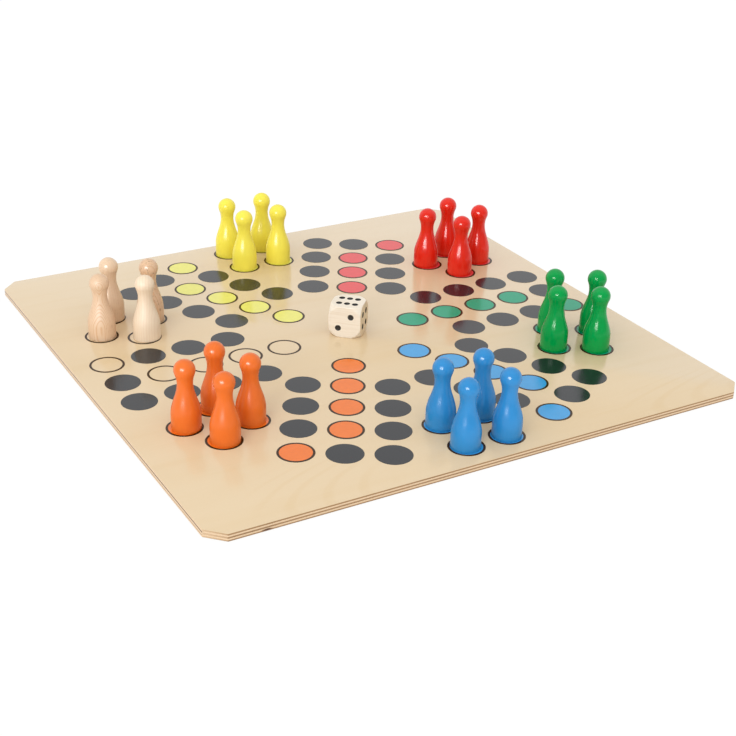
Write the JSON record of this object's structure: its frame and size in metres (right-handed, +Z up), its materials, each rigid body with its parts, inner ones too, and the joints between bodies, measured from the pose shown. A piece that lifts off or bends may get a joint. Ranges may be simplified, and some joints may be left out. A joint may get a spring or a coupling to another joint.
{
  "type": "ludo board",
  "caption": "Square plywood ludo board printed with a star of round fields, set with turned wooden pawns on their home circles and a wooden die, for a family race game.",
  "frame": {"origin": "centre of the board's underside, on the surface that the board lies on", "axes": "+Z up through the board, +X along the green player's arm towards the middle of a side, +Y towards the middle of the next side"},
  "size_m": [0.5, 0.5, 0.0666],
  "materials": {
    "face_veneer": "clear gloss lacquer over pale birch, with printed fields",
    "field_print": "dark screen print under the clear lacquer",
    "cross_veneer": "end grain of the cross plies, lacquered",
    "paint_green": "gloss paint on turned wood",
    "paint_red": "gloss paint on turned wood",
    "paint_yellow": "gloss paint on turned wood",
    "paint_orange": "gloss paint on turned wood",
    "paint_blue": "gloss paint on turned wood",
    "turned_beech": "clear satin varnish on turned beech",
    "die_wood": "smooth pale wood with black pips"
  },
  "bodies": {
    "board": {"bottom_face_ply": "face_veneer", "lower_cross_ply": "cross_veneer", "core_ply": "face_veneer", "upper_cross_ply": "cross_veneer", "top_face_ply": "face_veneer"},
    "pawn_green_1": {"pawn_green_1": "paint_green"},
    "pawn_green_2": {"pawn_green_2": "paint_green"},
    "pawn_green_3": {"pawn_green_3": "paint_green"},
    "pawn_green_4": {"pawn_green_4": "paint_green"},
    "pawn_red_1": {"pawn_red_1": "paint_red"},
    "pawn_red_2": {"pawn_red_2": "paint_red"},
    "pawn_red_3": {"pawn_red_3": "paint_red"},
    "pawn_red_4": {"pawn_red_4": "paint_red"},
    "pawn_yellow_1": {"pawn_yellow_1": "paint_yellow"},
    "pawn_yellow_2": {"pawn_yellow_2": "paint_yellow"},
    "pawn_yellow_3": {"pawn_yellow_3": "paint_yellow"},
    "pawn_yellow_4": {"pawn_yellow_4": "paint_yellow"},
    "pawn_natural_1": {"pawn_natural_1": "turned_beech"},
    "pawn_natural_2": {"pawn_natural_2": "turned_beech"},
    "pawn_natural_3": {"pawn_natural_3": "turned_beech"},
    "pawn_natural_4": {"pawn_natural_4": "turned_beech"},
    "pawn_orange_1": {"pawn_orange_1": "paint_orange"},
    "pawn_orange_2": {"pawn_orange_2": "paint_orange"},
    "pawn_orange_3": {"pawn_orange_3": "paint_orange"},
    "pawn_orange_4": {"pawn_orange_4": "paint_orange"},
    "pawn_blue_1": {"pawn_blue_1": "paint_blue"},
    "pawn_blue_2": {"pawn_blue_2": "paint_blue"},
    "pawn_blue_3": {"pawn_blue_3": "paint_blue"},
    "pawn_blue_4": {"pawn_blue_4": "paint_blue"},
    "die": {"die": "die_wood"}
  },
  "joints": [
    {"name": "pawn_green_1_lift", "type": "slide", "parent": "board", "child": "pawn_green_1", "axis": [0, 0, 1], "range_m": [0, 0.08]},
    {"name": "pawn_green_2_lift", "type": "slide", "parent": "board", "child": "pawn_green_2", "axis": [0, 0, 1], "range_m": [0, 0.08]},
    {"name": "pawn_green_3_lift", "type": "slide", "parent": "board", "child": "pawn_green_3", "axis": [0, 0, 1], "range_m": [0, 0.08]},
    {"name": "pawn_green_4_lift", "type": "slide", "parent": "board", "child": "pawn_green_4", "axis": [0, 0, 1], "range_m": [0, 0.08]},
    {"name": "pawn_red_1_lift", "type": "slide", "parent": "board", "child": "pawn_red_1", "axis": [0, 0, 1], "range_m": [0, 0.08]},
    {"name": "pawn_red_2_lift", "type": "slide", "parent": "board", "child": "pawn_red_2", "axis": [0, 0, 1], "range_m": [0, 0.08]},
    {"name": "pawn_red_3_lift", "type": "slide", "parent": "board", "child": "pawn_red_3", "axis": [0, 0, 1], "range_m": [0, 0.08]},
    {"name": "pawn_red_4_lift", "type": "slide", "parent": "board", "child": "pawn_red_4", "axis": [0, 0, 1], "range_m": [0, 0.08]},
    {"name": "pawn_yellow_1_lift", "type": "slide", "parent": "board", "child": "pawn_yellow_1", "axis": [0, 0, 1], "range_m": [0, 0.08]},
    {"name": "pawn_yellow_2_lift", "type": "slide", "parent": "board", "child": "pawn_yellow_2", "axis": [0, 0, 1], "range_m": [0, 0.08]},
    {"name": "pawn_yellow_3_lift", "type": "slide", "parent": "board", "child": "pawn_yellow_3", "axis": [0, 0, 1], "range_m": [0, 0.08]},
    {"name": "pawn_yellow_4_lift", "type": "slide", "parent": "board", "child": "pawn_yellow_4", "axis": [0, 0, 1], "range_m": [0, 0.08]},
    {"name": "pawn_natural_1_lift", "type": "slide", "parent": "board", "child": "pawn_natural_1", "axis": [0, 0, 1], "range_m": [0, 0.08]},
    {"name": "pawn_natural_2_lift", "type": "slide", "parent": "board", "child": "pawn_natural_2", "axis": [0, 0, 1], "range_m": [0, 0.08]},
    {"name": "pawn_natural_3_lift", "type": "slide", "parent": "board", "child": "pawn_natural_3", "axis": [0, 0, 1], "range_m": [0, 0.08]},
    {"name": "pawn_natural_4_lift", "type": "slide", "parent": "board", "child": "pawn_natural_4", "axis": [0, 0, 1], "range_m": [0, 0.08]},
    {"name": "pawn_orange_1_lift", "type": "slide", "parent": "board", "child": "pawn_orange_1", "axis": [0, 0, 1], "range_m": [0, 0.08]},
    {"name": "pawn_orange_2_lift", "type": "slide", "parent": "board", "child": "pawn_orange_2", "axis": [0, 0, 1], "range_m": [0, 0.08]},
    {"name": "pawn_orange_3_lift", "type": "slide", "parent": "board", "child": "pawn_orange_3", "axis": [0, 0, 1], "range_m": [0, 0.08]},
    {"name": "pawn_orange_4_lift", "type": "slide", "parent": "board", "child": "pawn_orange_4", "axis": [0, 0, 1], "range_m": [0, 0.08]},
    {"name": "pawn_blue_1_lift", "type": "slide", "parent": "board", "child": "pawn_blue_1", "axis": [0, 0, 1], "range_m": [0, 0.08]},
    {"name": "pawn_blue_2_lift", "type": "slide", "parent": "board", "child": "pawn_blue_2", "axis": [0, 0, 1], "range_m": [0, 0.08]},
    {"name": "pawn_blue_3_lift", "type": "slide", "parent": "board", "child": "pawn_blue_3", "axis": [0, 0, 1], "range_m": [0, 0.08]},
    {"name": "pawn_blue_4_lift", "type": "slide", "parent": "board", "child": "pawn_blue_4", "axis": [0, 0, 1], "range_m": [0, 0.08]},
    {"name": "die_lift", "type": "slide", "parent": "board", "child": "die", "axis": [0, 0, 1], "range_m": [0, 0.08]}
  ]
}
